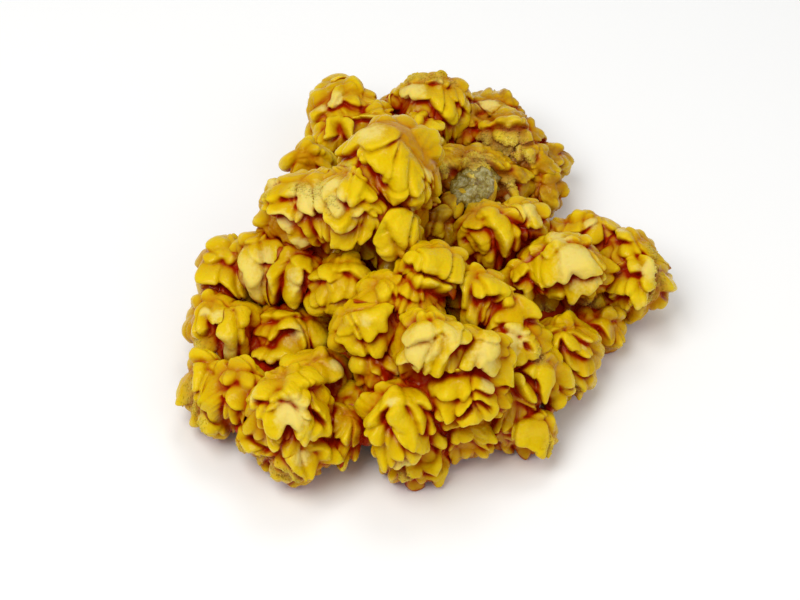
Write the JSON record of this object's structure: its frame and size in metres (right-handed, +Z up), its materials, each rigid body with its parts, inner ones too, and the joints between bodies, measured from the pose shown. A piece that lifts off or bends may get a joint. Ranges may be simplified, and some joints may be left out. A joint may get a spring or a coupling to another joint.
{
  "type": "golden ear fungus",
  "caption": "Fresh golden ear fungus: a compact mound of thick, frilly, fleshy lobes on a short foot that is cut off flat",
  "frame": {"origin": "middle of the flat cut under the foot, where the fungus was cut from its log", "axes": "+Z up out of the log, +X to the right and +Y away from the viewer as seen from the frilly side"},
  "size_m": [0.1165, 0.1284, 0.0509],
  "materials": {
    "foot_flesh": "wet satin, slightly see-through",
    "crown_lobe_flesh": "wet satin, slightly see-through",
    "back_left_lobe_flesh": "wet satin, slightly see-through",
    "back_lobe_flesh": "wet satin, slightly see-through",
    "back_right_lobe_flesh": "wet satin, slightly see-through",
    "torn_lobe_flesh": "wet satin, slightly see-through",
    "right_lobe_flesh": "wet satin, slightly see-through",
    "left_lobe_flesh": "wet satin, slightly see-through",
    "far_left_lobe_flesh": "wet satin, slightly see-through",
    "inner_left_lobe_flesh": "wet satin, slightly see-through",
    "front_left_lobe_flesh": "wet satin, slightly see-through",
    "middle_lobe_flesh": "wet satin, slightly see-through",
    "front_lobe_flesh": "wet satin, slightly see-through",
    "front_right_lobe_flesh": "wet satin, slightly see-through",
    "under_right_lobe_flesh": "wet satin, slightly see-through"
  },
  "bodies": {
    "root": {"foot": "foot_flesh", "crown_lobe": "crown_lobe_flesh", "back_left_lobe": "back_left_lobe_flesh", "back_lobe": "back_lobe_flesh", "back_right_lobe": "back_right_lobe_flesh", "torn_lobe": "torn_lobe_flesh", "right_lobe": "right_lobe_flesh", "left_lobe": "left_lobe_flesh", "far_left_lobe": "far_left_lobe_flesh", "inner_left_lobe": "inner_left_lobe_flesh", "front_left_lobe": "front_left_lobe_flesh", "middle_lobe": "middle_lobe_flesh", "front_lobe": "front_lobe_flesh", "front_right_lobe": "front_right_lobe_flesh", "under_right_lobe": "under_right_lobe_flesh"}
  },
  "joints": []
}
